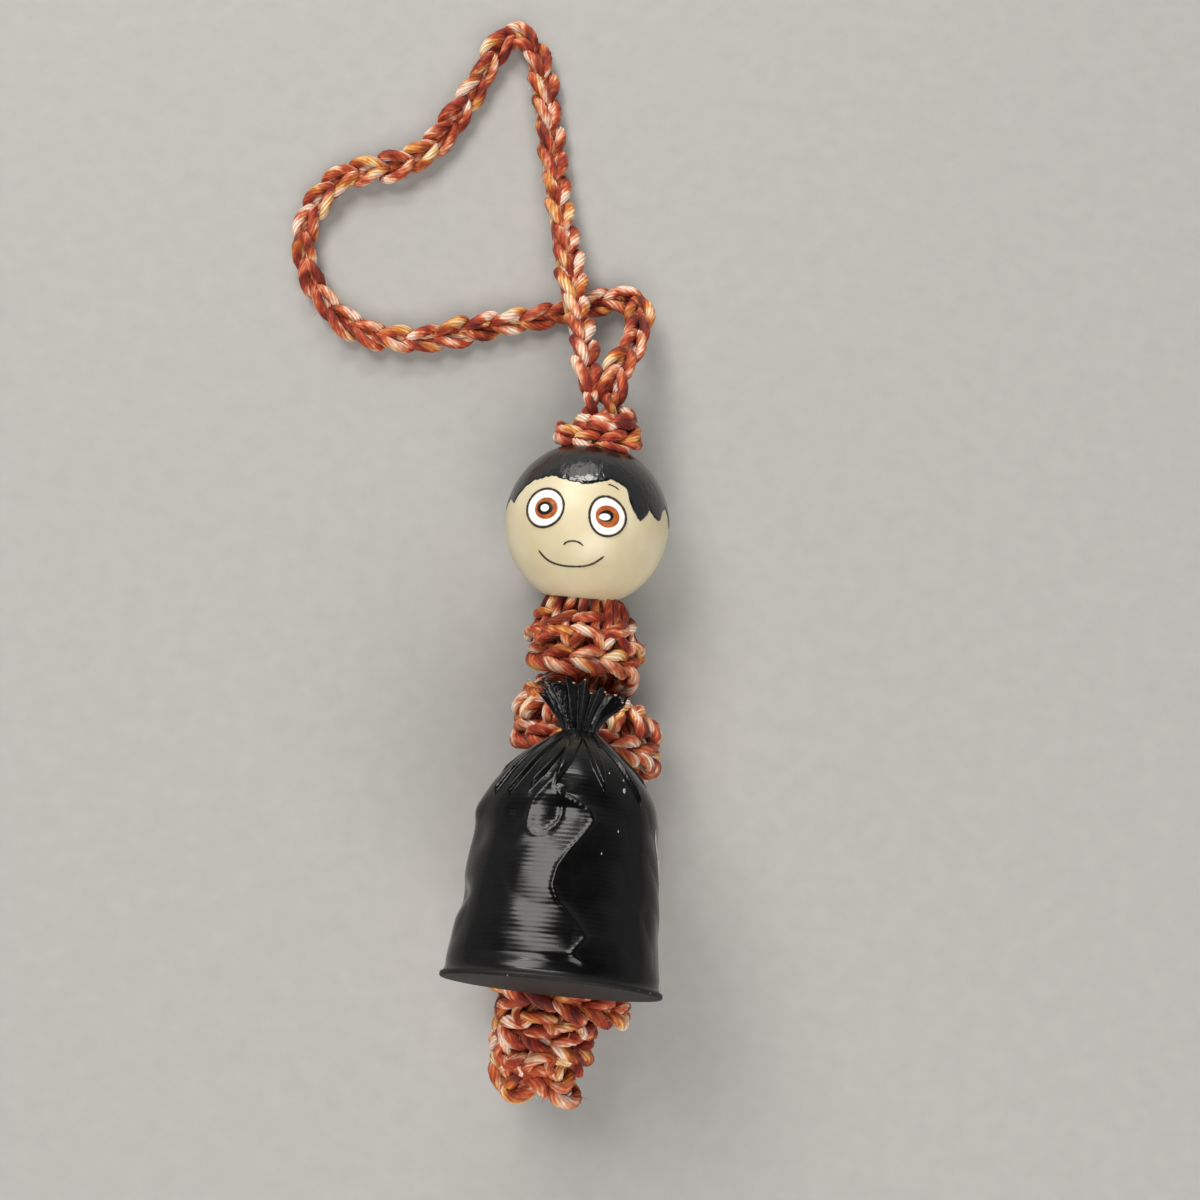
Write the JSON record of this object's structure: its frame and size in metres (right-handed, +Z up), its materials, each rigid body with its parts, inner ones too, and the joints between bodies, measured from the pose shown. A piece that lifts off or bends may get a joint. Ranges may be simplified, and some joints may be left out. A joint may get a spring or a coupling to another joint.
{
  "type": "crocheted worry worm",
  "caption": "Crocheted corkscrew worm toy with a painted wooden bead head, a chain-stitch hanging loop and a printed bin bag glued to its front.",
  "frame": {"origin": "on the table, under the middle of the box round everything but the hanging loop", "axes": "+Y along the worm from the tail to the head, +X to the right as seen from the front, +Z up out of the front, with the worm on its back"},
  "size_m": [0.0712, 0.173, 0.0462],
  "materials": {
    "yarn": "variegated cotton yarn in rust, orange, gold and cream",
    "painted_bead": "cream satin paint with a painted face and black gloss hair",
    "printed_bag": "glossy black plastic print with fine layer lines",
    "hot_glue": "clear milky hot glue"
  },
  "bodies": {
    "body": {"ruffle_turn_2": "yarn", "ruffle_turn_3": "yarn", "ruffle_turn_4": "yarn", "foundation_chain_middle": "yarn", "bin_bag": "printed_bag", "glue_dab_upper": "hot_glue", "glue_dab_lower": "hot_glue"},
    "shoulder": {"ruffle_shoulder": "yarn", "foundation_chain_shoulder": "yarn"},
    "neck": {"ruffle_collar": "yarn", "foundation_chain_neck": "yarn", "cord_leg_left": "yarn", "cord_leg_right": "yarn", "loop_knot": "yarn"},
    "head": {"bead_head": "painted_bead"},
    "loop": {"hanging_loop": "yarn"},
    "hip": {"ruffle_hip": "yarn", "foundation_chain_hip": "yarn"},
    "tail": {"ruffle_tail": "yarn", "foundation_chain_tail": "yarn"}
  },
  "joints": [
    {"name": "shoulder_sway", "type": "hinge", "parent": "body", "child": "shoulder", "pos_m": [0.0001, 0.00568, 0.0096], "axis": [0, 0, 1], "range_deg": [-20, 20], "stiffness_Nm_per_rad": 0.01},
    {"name": "neck_nod", "type": "hinge", "parent": "shoulder", "child": "neck", "pos_m": [0.0001, 0.0104, 0.0096], "axis": [1, 0, 0], "range_deg": [-20, 20], "stiffness_Nm_per_rad": 0.01},
    {"name": "head_spin", "type": "hinge", "parent": "neck", "child": "head", "pos_m": [-0.0023, 0.034, 0.0125], "axis": [0, 0.9945, 0.1045], "continuous": true},
    {"name": "loop_lift", "type": "hinge", "parent": "neck", "child": "loop", "pos_m": [-0.0023, 0.05444, 0.01465], "axis": [1, 0, 0], "range_deg": [-80, 100]},
    {"name": "tail_sway", "type": "hinge", "parent": "body", "child": "hip", "pos_m": [0.0001, -0.0306, 0.0096], "axis": [0, 0, 1], "range_deg": [-20, 20], "stiffness_Nm_per_rad": 0.01},
    {"name": "tail_nod", "type": "hinge", "parent": "hip", "child": "tail", "pos_m": [0.0001, -0.0336, 0.0096], "axis": [1, 0, 0], "range_deg": [-20, 20], "stiffness_Nm_per_rad": 0.01}
  ]
}
